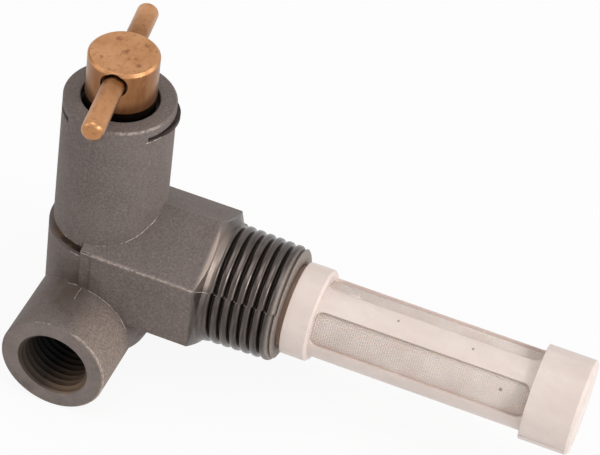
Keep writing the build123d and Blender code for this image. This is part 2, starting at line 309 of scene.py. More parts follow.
def stains_and_junction_shade(tree, place, patch, colour):
    """colour with brown stains under the boss's face, and stains darkened as painted shade where the boss
    meets the body.
    """
    stains = (                  # millimetres from the spindle's axis at the inlet's height, and reach
        ((-1.5, -11.0, -1.8), 6.5),
        ((0.0, -15.0, -1.5), 6.0),
        ((-4.0, -21.7, -19.0), 4.5),
    )
    for spot, reach in stains:
        centre = (spindle_x + spot[0] * MM, spot[1] * MM, spot[2] * MM)
        near = near_spot(tree, place, centre, reach * MM)
        stain = product(tree, near, between(tree, patch, 0.3, 0.65, 0.1, 0.75))
        colour = mix(tree, stain, colour, srgb(82, 69, 60))
    return colour


def painted_boss_glints(tree, x, y, from_outlet, speck):
    """Painted highlight: the boss's right side, lit bright in specks."""
    return product(
        tree,
        between(tree, from_outlet, boss_r - 0.5 * MM, boss_r - 0.3 * MM),
        between(tree, y, -13.5 * MM, -11.4 * MM, 1, 0.3),
        between(tree, y, -11.4 * MM, -11.2 * MM, 1, 0),
        between(tree, x, spindle_x + 1.5 * MM, spindle_x + 7.5 * MM),
        between(tree, speck, 0.35, 0.65, 0.2, 0.85),
    )


def neck_and_thread(tree, place, x, y, z):
    """Where the casting is smooth, round the neck and thread, and its colour there, paler on the cone's top
    as a painted highlight.
    """
    zone = product(
        tree,
        between(tree, x, -6.4 * MM, -5.7 * MM),
        between(tree, x, 6.8 * MM, 7.4 * MM, 1, 0.05),
    )
    streak = noise(tree, stretched(tree, place, (2600, 260, 260)), 1, 3, 0.6)
    colour = ramp(tree, streak, 0.35, 0.7, srgb(70, 63, 60), srgb(100, 92, 87))
    # painted highlight: the top of the cone before the thread is paler
    cone = product(
        tree,
        between(tree, z, 5.6 * MM, 6.6 * MM),
        between(tree, y, -2.0 * MM, 2.5 * MM, 1, 0),
        between(tree, x, -4.4 * MM, -3.7 * MM, 0.9, 0.0),
    )
    return zone, mix(tree, cone, colour, srgb(138, 125, 117))


def crescent(tree, y, z, from_spindle):
    """The ledge under the barrel, darkened into a crescent by painted shade and dirt."""
    return product(
        tree,
        between(tree, z, ledge_z - 0.06 * MM, ledge_z - 0.02 * MM),
        between(tree, z, groove_z - 0.1 * MM, groove_z, 1, 0),
        between(tree, from_spindle, ledge_r - 0.35 * MM, ledge_r - 0.1 * MM, 1, 0),
        between(tree, y, -4.0 * MM, -6.5 * MM),
    )


def outlet_bore(tree, x, y, z, from_outlet):
    """Where the outlet's bore is, and its colour: painted shade that darkens it the deeper it goes, and a
    browner painted lit patch low on the right.
    """
    bore = product(
        tree,
        between(tree, from_outlet, outlet_mouth_r, outlet_mouth_r + 0.08 * MM, 1, 0),
        between(tree, y, outlet_face + 0.04 * MM, outlet_face + 0.2 * MM),
        between(tree, y, outlet_way_back - 0.4 * MM, outlet_way_back, 1, 0),
    )
    # painted shade: the bore darkens with depth, and low on the right is a painted lit patch
    depth = between(tree, y, -21.4 * MM, -15.0 * MM)
    dark = ramp(tree, depth, 0.0, 1.0, srgb(62, 51, 43), srgb(6, 5, 4))
    brown = ramp(tree, depth, 0.0, 1.0, srgb(134, 110, 90), srgb(72, 57, 46))
    lit_low_right = product(
        tree,
        between(tree, x, spindle_x - 2.0 * MM, spindle_x + 2.5 * MM),
        between(tree, z, outlet_z - 3.5 * MM, outlet_z + 1.5 * MM, 0.75, 0),
    )
    return bore, mix(tree, lit_low_right, dark, brown)


def rim_highlights_and_corner_wear(tree, x, y, z, from_outlet, from_spindle, rub):
    """Painted highlights on the boss's and the barrel's rims on the right, and a pale worn band along the
    hexagon's front corner.
    """
    boss_rim = product(
        tree,
        between(tree, from_outlet, boss_r - 0.34 * MM, boss_r - 0.18 * MM),
        between(tree, y, outlet_face + 0.5 * MM, outlet_face + 0.3 * MM),
        between(tree, x, spindle_x + 2.5 * MM, spindle_x + 4.5 * MM),
    )
    corner = distance_from(tree, y, hex_corner_y, z, hex_corner_z)
    hex_corner = product(
        tree,
        between(tree, corner, 0.15 * MM, 0.55 * MM, 0.55, 0),
        between(tree, x, hex_end, hex_end - 0.2 * MM),
    )
    barrel_rim = product(
        tree,
        between(tree, from_spindle, rim_r - 0.3 * MM, rim_r - 0.15 * MM),
        between(tree, z, rim_z - 0.35 * MM, rim_z - 0.15 * MM, 0, 0.75),
        between(tree, y, -4.5 * MM, -3.0 * MM, 1, 0),
        between(tree, x, spindle_x + 1.5 * MM, spindle_x + 4.0 * MM),
    )
    rims = math_node(tree, "MAXIMUM", boss_rim, barrel_rim)
    bands = math_node(tree, "MAXIMUM", rims, hex_corner)
    return product(tree, bands, between(tree, rub, 0.38, 0.6, 0.1, 0.9))


def cast_metal():
    """Fine-blasted die-cast alloy; smoother and darker round the neck and thread, with painted shade in the
    bore and the crescent under the barrel, and painted highlights on the boss and the rims.
    """
    material, tree, shader = new_material("cast_body")
    link = tree.links.new
    place = object_coordinates(tree)
    x, y, z = split_axes(tree, place)
    from_outlet = distance_from(tree, x, spindle_x, z, outlet_z)
    from_spindle = distance_from(tree, x, spindle_x, y, 0.0)

    cloud = noise(tree, place, 90, 4)
    patch = noise(tree, place, 260, 4, 0.65)
    speck = noise(tree, place, 2600, 2, 0.8)
    rub = noise(tree, place, 1500, 3, 0.6)
    colour = ramp(tree, cloud, 0.3, 0.72, srgb(99, 89, 86), srgb(112, 101, 97))
    colour = mix(tree, between(tree, speck, 0.45, 0.75, 0, 0.55), colour, srgb(146, 134, 126))
    colour = mix(tree, between(tree, speck, 0.2, 0.45, 0.5, 0), colour, srgb(74, 65, 61))
    colour = mix(tree, between(tree, patch, 0.55, 0.75, 0, 0.4), colour, srgb(96, 82, 71))
    # brown stains, with painted shade where the boss meets the body
    colour = stains_and_junction_shade(tree, place, patch, colour)
    # painted highlight in specks on the boss's right side
    colour = mix(tree, painted_boss_glints(tree, x, y, from_outlet, speck), colour, srgb(158, 140, 127))

    smooth_zone, smooth_colour = neck_and_thread(tree, place, x, y, z)
    colour = mix(tree, smooth_zone, colour, smooth_colour)
    end_ring = product(
        tree,
        between(tree, x, 7.0 * MM, 7.4 * MM, 0, 0.8),
        between(tree, speck, 0.35, 0.65, 0.45, 1.0),
    )
    colour = mix(tree, end_ring, colour, srgb(150, 139, 130))
    # painted shade and brown dirt in the crescent under the barrel
    crescent_shade_and_dirt = ramp(tree, patch, 0.35, 0.62, srgb(42, 32, 27), srgb(112, 88, 70))
    colour = mix(tree, crescent(tree, y, z, from_spindle), colour, crescent_shade_and_dirt)
    # painted shade in the outlet's bore, with a painted lit patch low on the right
    bore, bore_colour = outlet_bore(tree, x, y, z, from_outlet)
    colour = mix(tree, bore, colour, bore_colour)
    # painted highlights on the rims, and wear along the hexagon's corner
    highlights_and_wear = rim_highlights_and_corner_wear(tree, x, y, z, from_outlet, from_spindle, rub)
    colour = mix(tree, highlights_and_wear, colour, srgb(188, 174, 165))
    on_face = product(
        tree,
        between(tree, y, outlet_face + 0.12 * MM, outlet_face + 0.04 * MM),
        between(tree, patch, 0.3, 0.6, 0.75, 0.25),
    )
    colour = mix(tree, on_face, colour, srgb(134, 121, 115))
    link(colour, shader.inputs["Base Color"])

    # the neck and thread are polished metal, the rest is matt, and the bore between them
    worn = math_node(tree, "MAXIMUM", smooth_zone, product(tree, bore, 0.15))
    polished = between(tree, worn, 0, 1, 0.62, 0.24)
    before_thread = between(tree, x, -4.2 * MM, -3.8 * MM, 1, 0)
    rough = math_node(tree, "ADD", polished, product(tree, before_thread, 0.12))
    link(rough, shader.inputs["Roughness"])
    link(between(tree, worn, 0, 1, 0.2, 0.92), shader.inputs["Metallic"])
    link(between(tree, bore, 0, 1, 0.5, 0.3), shader.inputs["Specular IOR Level"])
    grain = noise(tree, place, 5200, 2, 0.7)
    coarse = math_node(tree, "ADD", grain, product(tree, patch, 1.2))
    blasted = product(tree, coarse, between(tree, worn, 0, 1, 1, 0.18))
    shaded = soft_edges(tree, 0.14 * MM)
    link(bump(tree, blasted, 0.8, 0.06 * MM, shaded), shader.inputs["Normal"])
    return material


def flash_and_highlight_metal():
    """Casting flash, a burr and the rims' painted highlights: the same alloy, brighter in patches."""
    material, tree, shader = new_material("flash_and_highlight_metal")
    place = object_coordinates(tree)
    rub = noise(tree, place, 2100, 3, 0.7)
    colour = ramp(tree, rub, 0.35, 0.68, srgb(112, 100, 92), srgb(198, 183, 172))
    tree.links.new(colour, shader.inputs["Base Color"])
    shader.inputs["Metallic"].default_value = 0.3
    tree.links.new(between(tree, rub, 0.3, 0.7, 0.6, 0.42), shader.inputs["Roughness"])
    return material


def turned_brass():
    """Dull turned brass, with faint turning lines, a patchy tarnish, pits in the head's top, and painted
    shade on the head's side and top edge, on the bar by the head, in the cross hole and under the head.
    """
    material, tree, shader = new_material("turned_brass")
    link = tree.links.new
    place = object_coordinates(tree)
    tarnish = noise(tree, place, 230, 4, 0.6)
    x, y, z = split_axes(tree, place)
    colour = ramp(tree, tarnish, 0.32, 0.7, srgb(184, 132, 90), srgb(202, 150, 108))
    lines = noise(tree, stretched(tree, place, (300, 300, 5200)), 1, 2)
    colour = mix(tree, between(tree, lines, 0.45, 0.8, 0, 0.22), colour, srgb(166, 116, 68))
    freckle = noise(tree, place, 1300, 3, 0.5)
    colour = mix(tree, between(tree, freckle, 0.58, 0.7, 0, 0.45), colour, srgb(132, 84, 54))
    grime = noise(tree, stretched(tree, place, (1, 0.25, 1)), 900, 3, 0.65)
    colour = mix(tree, between(tree, grime, 0.5, 0.75, 0, 0.45), colour, srgb(150, 102, 62))

    # shallow pits left in the head's top
    pits = None
    ragged = between(tree, noise(tree, place, 2400, 2, 0.6), 0.35, 0.6, 0.25, 1.0)
    for right, back, reach in head_pits:
        centre = (spindle_x + right * MM, back * MM, head_top)
        near = product(tree, near_spot(tree, place, centre, reach * MM), ragged)
        pits = math_node(tree, "MAXIMUM", pits, near) if pits else near
    colour = mix(tree, product(tree, pits, 0.75), colour, srgb(128, 78, 56))

    # painted shade: browner down the head's side, and darker round the top edge at the back left
    from_spindle = distance_from(tree, x, spindle_x, y, 0.0)
    on_head = between(tree, from_spindle, head_r + 0.03 * MM, head_r + 0.08 * MM, 1, 0)
    smear = noise(tree, stretched(tree, place, (1, 1, 0.4)), 420, 3, 0.6)
    side = product(
        tree,
        on_head,
        between(tree, from_spindle, head_r - 0.3 * MM, head_r - 0.05 * MM),
        between(tree, z, head_top - 0.8 * MM, head_top - 0.2 * MM, 1, 0),
        between(tree, smear, 0.3, 0.7, 0.55, 1.0),
    )
    colour = mix(tree, side, colour, srgb(136, 92, 58))
    back_less_right = math_node(tree, "SUBTRACT", y, math_node(tree, "SUBTRACT", x, spindle_x))
    shaded_rim = product(
        tree,
        on_head,
        between(tree, from_spindle, head_r - 0.4 * MM, head_r - 0.28 * MM),
        between(tree, z, head_top - 0.3 * MM, head_top - 0.2 * MM),
        between(tree, back_less_right, -3.5 * MM, 1.0 * MM, 0, 0.75),
    )
    colour = mix(tree, shaded_rim, colour, srgb(112, 70, 40))

    # painted shade: browner on the bar near the head, dark inside the cross hole, and black under the head
    right_of_bar = math_node(
        tree,
        "ADD",
        product(tree, math_node(tree, "SUBTRACT", x, spindle_x), math.cos(bar_turn)),
        product(tree, y, math.sin(bar_turn)),
    )
    from_bar = distance_from(tree, right_of_bar, 0.0, z, bar_z)
    shaded_bar_root = product(
        tree,
        between(tree, from_spindle, 6.5 * MM, 13.0 * MM, 0.95, 0.0),
        between(tree, from_bar, bar_r + 0.025 * MM, bar_r + 0.075 * MM, 1, 0),
        between(tree, smear, 0.35, 0.65, 0.6, 1.0),
    )
    colour = mix(tree, shaded_bar_root, colour, srgb(120, 78, 44))
    hole_shade = product(
        tree,
        on_head,
        between(tree, from_bar, bar_r + 0.005 * MM, bar_r + 0.015 * MM),
        between(tree, from_bar, cross_hole_edge, cross_hole_edge + 0.06 * MM, 1, 0),
    )
    colour = mix(tree, hole_shade, colour, srgb(66, 38, 18))
    shade_under_head = between(tree, z, shade_top - 0.12 * MM, shade_top + 0.06 * MM, 1, 0)
    colour = mix(tree, shade_under_head, colour, srgb(20, 13, 9))
    link(colour, shader.inputs["Base Color"])

    polish = between(tree, tarnish, 0.3, 0.7, 0.28, 0.38)
    rough = math_node(tree, "MAXIMUM", polish, product(tree, shade_under_head, 0.6))
    link(rough, shader.inputs["Roughness"])
    shader.inputs["Metallic"].default_value = 0.97
    shaded = soft_edges(tree, 0.12 * MM)
    turned = bump(tree, lines, 0.2, 0.03 * MM, shaded)
    unpitted = math_node(tree, "SUBTRACT", 1.0, pits)
    link(bump(tree, unpitted, 0.25, 0.1 * MM, turned), shader.inputs["Normal"])
    return material


def clip_steel():
    """Blackened spring steel with brown patches."""
    material, tree, shader = new_material("clip_steel")
    place = object_coordinates(tree)
    patch = noise(tree, place, 900, 3)
    tree.links.new(
        ramp(tree, patch, 0.35, 0.7, srgb(30, 21, 19), srgb(58, 43, 39)), shader.inputs["Base Color"]
    )
    shader.inputs["Metallic"].default_value = 0.5
    shader.inputs["Roughness"].default_value = 0.45
    tree.links.new(bump(tree, patch, 0.2, 0.03 * MM), shader.inputs["Normal"])
    return material


def seal_rubber():
    material, tree, shader = new_material("seal_rubber")
    place = object_coordinates(tree)
    speck = noise(tree, place, 2500, 2)
    tree.links.new(
        ramp(tree, speck, 0.3, 0.8, srgb(24, 24, 25), srgb(44, 44, 45)), shader.inputs["Base Color"]
    )
    shader.inputs["Roughness"].default_value = 0.55
    tree.links.new(bump(tree, speck, 0.2, 0.02 * MM), shader.inputs["Normal"])
    return material


def moulded_nylon():
    """Natural nylon: milky, faintly pink, with flow clouds, dark specks, and a brown band of grime and
    painted shade on the spigot by the thread.
    """
    material, tree, shader = new_material("moulded_nylon")
    link = tree.links.new
    place = object_coordinates(tree)
    x, y, z = split_axes(tree, place)
    flow = noise(tree, stretched(tree, place, (0.35, 1, 1)), 260, 3)
    colour = ramp(tree, flow, 0.3, 0.72, srgb(217, 201, 193), srgb(229, 215, 208))
    cloud = noise(tree, place, 600, 3)
    colour = mix(tree, between(tree, cloud, 0.5, 0.75, 0, 0.35), colour, srgb(212, 194, 182))
    specks = ((27.4, -1.86, 6.85), (40.8, -2.18, 6.76), (20.5, -6.6, 2.2))
    for spot in specks:
        centre = tuple(value * MM for value in spot)
        near = near_spot(tree, place, centre, 0.3 * MM)
        colour = mix(tree, product(tree, near, 0.7), colour, srgb(92, 70, 60))
    # grime and painted shade on the spigot in the gap before the collar
    spigot_shade_and_grime = between(tree, x, collar_start - 0.12 * MM, collar_start - 0.02 * MM, 1, 0)
    colour = mix(tree, spigot_shade_and_grime, colour, srgb(150, 121, 101))
    link(colour, shader.inputs["Base Color"])
    shader.inputs["Roughness"].default_value = 0.42
    shader.inputs["Subsurface Weight"].default_value = 0.2
    shader.inputs["Subsurface Scale"].default_value = 0.6 * MM
    shader.inputs["Subsurface Radius"].default_value = (1.0, 0.95, 0.9)
    shaded = soft_edges(tree, 0.2 * MM)
    waves = math_node(tree, "ADD", flow, product(tree, cloud, 0.5))
    link(bump(tree, waves, 0.2, 0.2 * MM, shaded), shader.inputs["Normal"])
    return material


def nylon_gauze(name, dark, light):
    """Fine nylon wire, a shade darker and warmer than the frame, with damp greyer patches and a speck."""
    material, tree, shader = new_material(name)
    link = tree.links.new
    place = object_coordinates(tree)
    cloud = noise(tree, place, 190, 3)
    colour = ramp(tree, cloud, 0.3, 0.72, dark, light)
    near = near_spot(tree, place, (47.3 * MM, -5.54 * MM, 3.3 * MM), 0.4 * MM)
    colour = mix(tree, product(tree, near, 0.75), colour, srgb(96, 74, 62))
    link(colour, shader.inputs["Base Color"])
    shader.inputs["Roughness"].default_value = 0.6
    shader.inputs["Subsurface Weight"].default_value = 0.2
    shader.inputs["Subsurface Scale"].default_value = 0.4 * MM
    return material


def smooth_shade(mesh):
    mesh.polygons.foreach_set("use_smooth", [True] * len(mesh.polygons))


def dress(name, material):
    """Gives a CAD node its material, and smooth shading within each of its faces."""
    thing = nodes[name]
    thing.data.materials.clear()
    thing.data.materials.append(material)
    smooth_shade(thing.data)


cast = cast_metal()
worn = flash_and_highlight_metal()
brass = turned_brass()
rubber = seal_rubber()
nylon = moulded_nylon()
gauze = nylon_gauze("nylon_gauze", srgb(225, 207, 199), srgb(234, 220, 213))
sleeve = nylon_gauze("gauze_sleeve", srgb(212, 193, 184), srgb(225, 209, 201))
for name, material in {
    "spindle": brass,
    "jumper": brass,
    "retaining_clip": clip_steel(),
    "spindle_o_ring": rubber,
    "jumper_washer": rubber,
    "strainer_frame": nylon,
    "strainer_gauze": sleeve,
}.items():
    dress(name, material)


# Mesh helpers


def new_object(name, mesh, material, body):
    """A piece made of mesh, with one material, riding on a body."""
    thing = bpy.data.objects.new(name, mesh)
    mesh.materials.clear()
    mesh.materials.append(material)
    bpy.context.scene.collection.objects.link(thing)
    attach(thing, body)
    return thing


def weld(mesh, distance=1e-7):
    """Joins the points that lie together, drops flat slivers and turns every face outwards."""
    work = bmesh.new()
    work.from_mesh(mesh)
    bmesh.ops.remove_doubles(work, verts=work.verts, dist=distance)
    bmesh.ops.dissolve_degenerate(work, edges=work.edges, dist=distance)
    bmesh.ops.recalc_face_normals(work, faces=work.faces)
    work.to_mesh(mesh)
    work.free()


def crisp(mesh, degrees, degrees_in_outlet=None):
    """Smooth shading that keeps edges sharper than degrees; the outlet's thread may have its own limit."""
    work = bmesh.new()
    work.from_mesh(mesh)
    for face in work.faces:
        face.smooth = True
    for edge in work.edges:
        limit = degrees
        middle = (edge.verts[0].co + edge.verts[1].co) / 2
        from_outlet = math.hypot(middle.x - spindle_x, middle.z - outlet_z)
        if degrees_in_outlet and from_outlet < 6.6 * MM and middle.y < -11.2 * MM:
            limit = degrees_in_outlet
        edge.smooth = len(edge.link_faces) == 2 and edge.calc_face_angle(0.0) < math.radians(limit)
    work.to_mesh(mesh)
    work.free()


def weigh(thing):
    """Lets the larger faces settle the shading at each point."""
    weighted = thing.modifiers.new("weighted", "WEIGHTED_NORMAL")
    weighted.keep_sharp = True


def screw_grid(start, end, pitch, columns, rows_a_turn, point, close_with):
    """A closed shell with a helical outside: rows follow the helix, so crests and roots stay clean.

    point(along, turn) is the outside's place. close_with(turn) lists the places of one column of the
    rest of the shell, from the outside's far end back to its near end.
    """
    turns = math.ceil((end - start) / pitch) + 2
    rows = turns * rows_a_turn
    verts = []
    for row in range(rows):
        for column in range(columns):
            turn = 2 * math.pi * column / columns
            along = start - pitch + (row / rows_a_turn + column / columns) * pitch
            verts.append(point(min(max(along, start), end), turn))
    faces = []
    for row in range(rows - 1):
        for column in range(columns):
            beside = row * columns + column + 1
            if column == columns - 1:
                beside = (row + rows_a_turn) * columns
                if row + rows_a_turn + 1 >= rows:
                    continue
            here = row * columns + column
            faces.append((here, beside, beside + columns, here + columns))

    ring_rows = len(close_with(0.0))
    first = len(verts)
    for ring in range(ring_rows):
        for column in range(columns):
            verts.append(close_with(2 * math.pi * column / columns)[ring])
    bands = [((rows - 1) * columns, first)]
    bands += [(first + ring * columns, first + (ring + 1) * columns) for ring in range(ring_rows - 1)]
    bands.append((first + (ring_rows - 1) * columns, 0))
    for near, far in bands:
        for column in range(columns):
            beside = (column + 1) % columns
            faces.append((near + column, near + beside, far + beside, far + column))
    mesh = bpy.data.meshes.new("screw")
    mesh.from_pydata(verts, [], faces)
    weld(mesh)
    return mesh


def tube(points, radius, sides=6, closed=False):
    """Points and faces of a round tube along points; radius may be one number or one for each point."""
    radii = radius if isinstance(radius, (list, tuple)) else [radius] * len(points)
    points = [Vector(p) for p in points]
    last = len(points) - 1
    side = None
    verts = []
    for index, point in enumerate(points):
        before = points[index - 1] if index or closed else point
        after = points[(index + 1) % len(points)] if index < last or closed else point
        way = (after - before).normalized()
        if side is None:
            side = way.orthogonal().normalized()
        side = (side - way * side.dot(way)).normalized()
        other = way.cross(side)
        for step in range(sides):
            turn = 2 * math.pi * step / sides
            verts.append(point + (side * math.cos(turn) + other * math.sin(turn)) * radii[index])
    faces = []
    for index in range(last + 1 if closed else last):
        here = index * sides
        there = ((index + 1) % len(points)) * sides
        for step in range(sides):
            beside = (step + 1) % sides
            faces.append((here + step, here + beside, there + beside, there + step))
    if not closed:
        faces.append(tuple(reversed(range(sides))))
        faces.append(tuple(last * sides + step for step in range(sides)))
    return verts, faces


def joined(shells):
    """One mesh of several (points, faces) shells."""
    verts = []
    faces = []
    for shell_verts, shell_faces in shells:
        base = len(verts)
        verts += shell_verts
        faces += [tuple(base + index for index in face) for face in shell_faces]
    mesh = bpy.data.meshes.new("joined")
    mesh.from_pydata(verts, [], faces)
    smooth_shade(mesh)
    return mesh


def cut(mesh, cutter_mesh):
    """mesh less cutter_mesh, as a new mesh."""
    thing = bpy.data.objects.new("uncut", mesh)
    cutter = bpy.data.objects.new("cutter", cutter_mesh)
    for item in (thing, cutter):
        bpy.context.scene.collection.objects.link(item)
    difference = thing.modifiers.new("cut", "BOOLEAN")
    difference.operation = "DIFFERENCE"
    difference.solver = "EXACT"
    difference.object = cutter
    bpy.context.view_layer.update()
    ready = thing.evaluated_get(bpy.context.evaluated_depsgraph_get())
    result = bpy.data.meshes.new_from_object(ready)
    for item in (thing, cutter):
        bpy.data.objects.remove(item)
    return result


# Casting: the solid's own mesh, with the outlet's thread cut and the inlet's thread made round-crested


def inlet_surface(along, turn):
    """The threaded end's outside at a place along the inlet and round it, from +Y towards +Z."""
    lower_half = parting_turn < turn < parting_turn + math.pi
    shifted = along + (mould_jog if lower_half else 0.0)
    phase = shifted / inlet_pitch - turn / (2 * math.pi) - 0.5 * thread_start / inlet_pitch
    off_crest = abs(phase - math.floor(phase) - 0.5) * inlet_pitch
    crest_r = gauge_r - along * inlet_taper
    if along < thread_start:
        radius = neck_r
    elif off_crest < ridge_half_width:
        radius = crest_r - thread_depth * (off_crest / ridge_half_width) ** 3.4
    else:
        radius = crest_r - thread_depth
    left = thread_end - along
    if left < end_round:
        arc = end_round - math.sqrt(max(end_round**2 - (end_round - left) ** 2, 0.0))
        radius = min(radius, crest_r - arc * 0.85)
    return (along, radius * math.cos(turn), radius * math.sin(turn))


def threaded_end():
    def inside(turn):
        section = (
            (thread_end, socket_r),
            (socket_floor, socket_r),
            (socket_floor, inlet_way_r),
            (neck_cut, inlet_way_r),
        )
        return [(x, r * math.cos(turn), r * math.sin(turn)) for x, r in section]

    return screw_grid(neck_cut, thread_end, inlet_pitch, 220, 16, inlet_surface, inside)


def outlet_cutter():
    """The male form of the outlet's thread, a little larger than the bore that it cuts."""
    start = outlet_face - 0.6 * MM
    end = outlet_face + outlet_thread_length
    inner = outlet_minor_r + 0.02 * MM

    def place(along, turn, radius):
        return (spindle_x + radius * math.sin(turn), along, outlet_z + radius * math.cos(turn))

    def outside(along, turn):
        phase = along / outlet_pitch - turn / (2 * math.pi) + outlet_thread_phase
        off_crest = abs(phase - math.floor(phase) - 0.5) * 2
        share = min(max((0.92 - off_crest) / 0.8, 0.0), 1.0)
        fade = min(max((end - along) / outlet_pitch, 0.0), 1.0)
        return place(along, turn, inner + outlet_depth_of_cut * share * fade)

    def ends(turn):
        return [place(end, turn, 0.2 * inner), place(start, turn, 0.2 * inner)]

    return screw_grid(start, end, outlet_pitch, 120, 12, outside, ends)


def end_cutter():
    """A block that takes off the solid's own threaded end."""
    work = bmesh.new()
    bmesh.ops.create_cube(work, size=1.0)
    length = 20 * MM
    width = 30 * MM
    bmesh.ops.scale(work, verts=work.verts, vec=(length, width, width))
    bmesh.ops.translate(work, verts=work.verts, vec=(neck_cut + length / 2, 0, 0))
    mesh = bpy.data.meshes.new("end")
    work.to_mesh(mesh)
    work.free()
    return mesh


def casting():
    solid = nodes["tap_body"].data.copy()
    weld(solid)
    body = cut(cut(solid, end_cutter()), outlet_cutter())
    crisp(body, 10, 40)
    end = threaded_end()
    crisp(end, 40)
    work = bmesh.new()
    work.from_mesh(body)
    work.from_mesh(end)
    work.to_mesh(body)
    work.free()
    thing = new_object("body_casting", body, cast, "tap")
    weigh(thing)
    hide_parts("tap_body")


casting()


# Casting flash along the mould's joints, a burr, and painted highlights along rims: thin broken ridges


def broken_ridge(points, radius, gaps=0.25):
    """Short tapered tubes along points, with random gaps between them."""
    runs = []
    run = []
    for point in points:
        if dice.random() < gaps and len(run) > 1:
            runs.append(run)
            run = []
        jitter = Vector([dice.uniform(-1, 1) for _ in range(3)]) * radius * 0.35
        run.append(Vector(point) + jitter)
    if len(run) > 1:
        runs.append(run)
    ridges = []
    for run in runs:
        sizes = [radius * dice.uniform(0.55, 1.15) for _ in run]
        sizes[0] = sizes[-1] = radius * 0.3
        ridges.append(tube(run, sizes))
    return ridges


def steps(first, last, count):
    return [first + (last - first) * index / (count - 1) for index in range(count)]


def arc_points(centre, radius, first, last, count, height=None):
    """Points of a level arc, in degrees from +X towards +Y."""
    points = []
    for turn in steps(math.radians(first), math.radians(last), count):
        x = centre[0] + radius * math.cos(turn)
        y = centre[1] + radius * math.sin(turn)
        points.append((x, y, height if height is not None else centre[2]))
    return points


def ring_points(y, radius, first, last, count):
    """Points of an arc round the outlet's axis, in degrees from +Z towards +X."""
    points = []
    for turn in steps(math.radians(first), math.radians(last), count):
        points.append((spindle_x + radius * math.sin(turn), y, outlet_z + radius * math.cos(turn)))
    return points


def flash_lines():
    spindle = (spindle_x, 0, 0)
    shells = []

    # the hexagon's front upper corner, and on along the ledge
    corner = [(x, hex_corner_y, hex_corner_z) for x in steps(hex_start, hex_end, 62)]
    shells += broken_ridge(corner, 0.125 * MM, 0.05)
    ledge = arc_points((spindle_x, -ledge_forward, ledge_z), ledge_r, -106, -90, 12)
    shells += broken_ridge(ledge, 0.09 * MM, 0.1)

    # where the top front face meets the barrel, faint in front and clearer to the right
    for first, last, count, size, gaps in ((-88, -58, 22, 0.06, 0.2), (-58, -12, 34, 0.14, 0.04)):
        level = arc_points(spindle, barrel_r, first, last, count)
        sloped = [(x, y, hex_corner_r + y * math.tan(math.pi / 6)) for x, y, _ in level]
        shells += broken_ridge(sloped, size * MM, gaps)

    # the barrel's lower edge, inside the dark crescent: a flash ridge that also stands for the edge's
    # painted highlight
    groove = arc_points(spindle, barrel_r + 0.02 * MM, -128, -96, 24, groove_z)
    shells += broken_ridge(groove, 0.06 * MM, 0.2)

    # where the boss meets the front flat, and the parting line over the boss
    shells += broken_ridge(ring_points(flat_y, boss_r, 8, 68, 56), 0.075 * MM, 0.06)
    shells += broken_ridge(ring_points(-11.0 * MM, boss_r, -20, 2, 18), 0.06 * MM, 0.1)
    shells += broken_ridge(ring_points(-10.0 * MM, boss_r, -9, 3, 12), 0.05 * MM, 0.15)
    boss_top = outlet_z + boss_r + 0.04 * MM
    parting = [(spindle_x + 0.2 * MM, y, boss_top) for y in steps(-11.2 * MM, -14.4 * MM, 10)]
    shells += broken_ridge(parting, 0.1 * MM, 0.0)

    # the seam across the thread's crests and down the neck
    for index in range(6):
        x = thread_start + (0.62 + index) * inlet_pitch
        radius = gauge_r - x * inlet_taper - 0.05 * MM
        turn = parting_turn - 0.004
        y, z = radius * math.cos(turn), radius * math.sin(turn)
        seam = [(along, y, z) for along in steps(x - 0.4 * MM, x + 0.4 * MM, 5)]
        shells += broken_ridge(seam, 0.018 * MM, 0.0)
    section = (
        (hex_end, hex_corner_r),
        (-5.0 * MM, 11.0 * MM),
        (-4.3 * MM, neck_r),
        (-4.0 * MM, neck_r),
    )
    cone = [(x, r * math.cos(parting_turn), r * math.sin(parting_turn)) for x, r in section]
    shells += broken_ridge(cone, 0.07 * MM, 0.0)

    new_object("casting_flash", joined(shells), worn, "tap")


def rim_highlights_and_burr():
    spindle = (spindle_x, 0, 0)
    shells = []
    # painted highlights: bright ridges along the boss's face edge
    for first, last, size in ((-27, -5, 0.08), (20, 33, 0.07), (33, 58, 0.1), (58, 88, 0.07)):
        edge = ring_points(outlet_face + 0.1 * MM, boss_r - 0.08 * MM, first, last, last - first)
        shells += broken_ridge(edge, size * MM, 0.03)
    # painted highlight along the barrel's top edge, then the burr along the clip's slot
    shells += broken_ridge(arc_points(spindle, rim_r, -66, -26, 36, rim_z), 0.07 * MM, 0.2)
    burr = arc_points(spindle, burr_r, -40, 4, 34, burr_z)
    shells += broken_ridge(burr, 0.09 * MM, 0.12)
    new_object("rim_highlights_and_burr", joined(shells), worn, "tap")


flash_lines()
rim_highlights_and_burr()


# Tommy bar: round-ended, with the solid's own length and diameter


def tommy_bar():
    way = Vector((math.sin(bar_turn), -math.cos(bar_turn), 0))
    centre = Vector((spindle_x, 0, bar_z))
    profile = []
    for side, reach in ((-1, bar_back), (1, bar_front)):
        arc = []
        for turn in steps(0.0, math.pi / 2, 7):
            along = reach - bar_end_round * (1 - math.sin(turn))
            arc.append((side * along, bar_r - bar_end_round * (1 - math.cos(turn))))
        arc.append((side * (reach - 0.02 * MM), 0.5 * bar_r))
        profile += list(reversed(arc)) if side < 0 else arc
    shape = tube([centre + way * along for along, _ in profile], [radius for _, radius in profile], 56)
    mesh = joined([shape])
    crisp(mesh, 40)
    thing = new_object("bar_with_round_ends", mesh, brass, "key")
    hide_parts("tommy_bar")


tommy_bar()


# Strainer's gauze: rings and lengthwise wires that stand out of a close cloth


